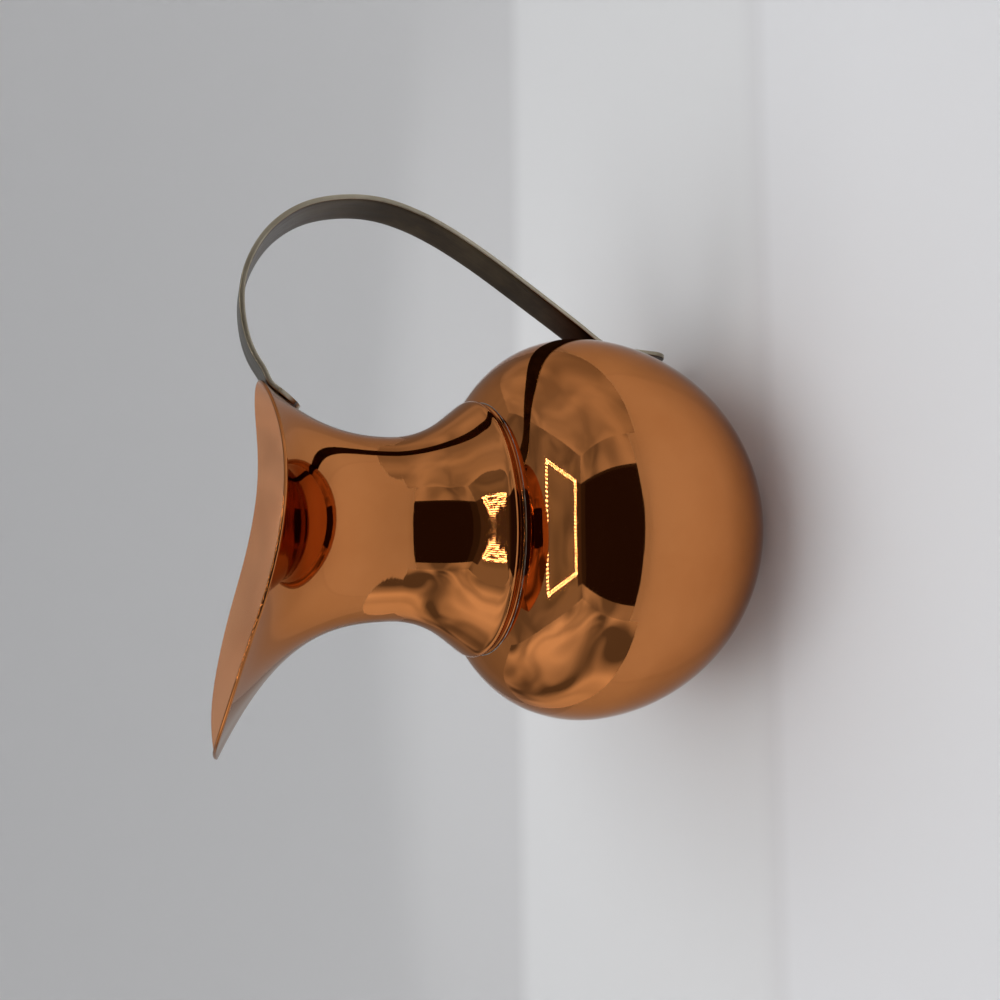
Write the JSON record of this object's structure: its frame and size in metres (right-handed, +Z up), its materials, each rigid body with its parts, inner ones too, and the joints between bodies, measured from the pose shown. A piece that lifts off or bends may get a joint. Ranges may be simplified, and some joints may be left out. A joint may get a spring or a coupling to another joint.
{
  "type": "pitcher",
  "caption": "Polished spun copper pitcher with a near-spherical bowl, a waisted neck drawn out into a long pouring lip, and a brass strap handle",
  "frame": {"origin": "centre of the flat base, on the bowl's axis, at the level of the surface the pitcher stands on", "axes": "+Z up; +X towards the strap handle; -X towards the pouring lip; +Y to the left of someone looking along +X"},
  "size_m": [0.1862, 0.144, 0.1876],
  "materials": {
    "copper": "polished",
    "strap_brass": "aged satin",
    "solder": "satin"
  },
  "bodies": {
    "root": {"body_bowl": "copper", "neck_spout": "copper", "solder_neck_seam": "solder", "handle_strap": "strap_brass", "solder_handle_upper": "solder", "solder_handle_lower": "solder"}
  },
  "joints": []
}
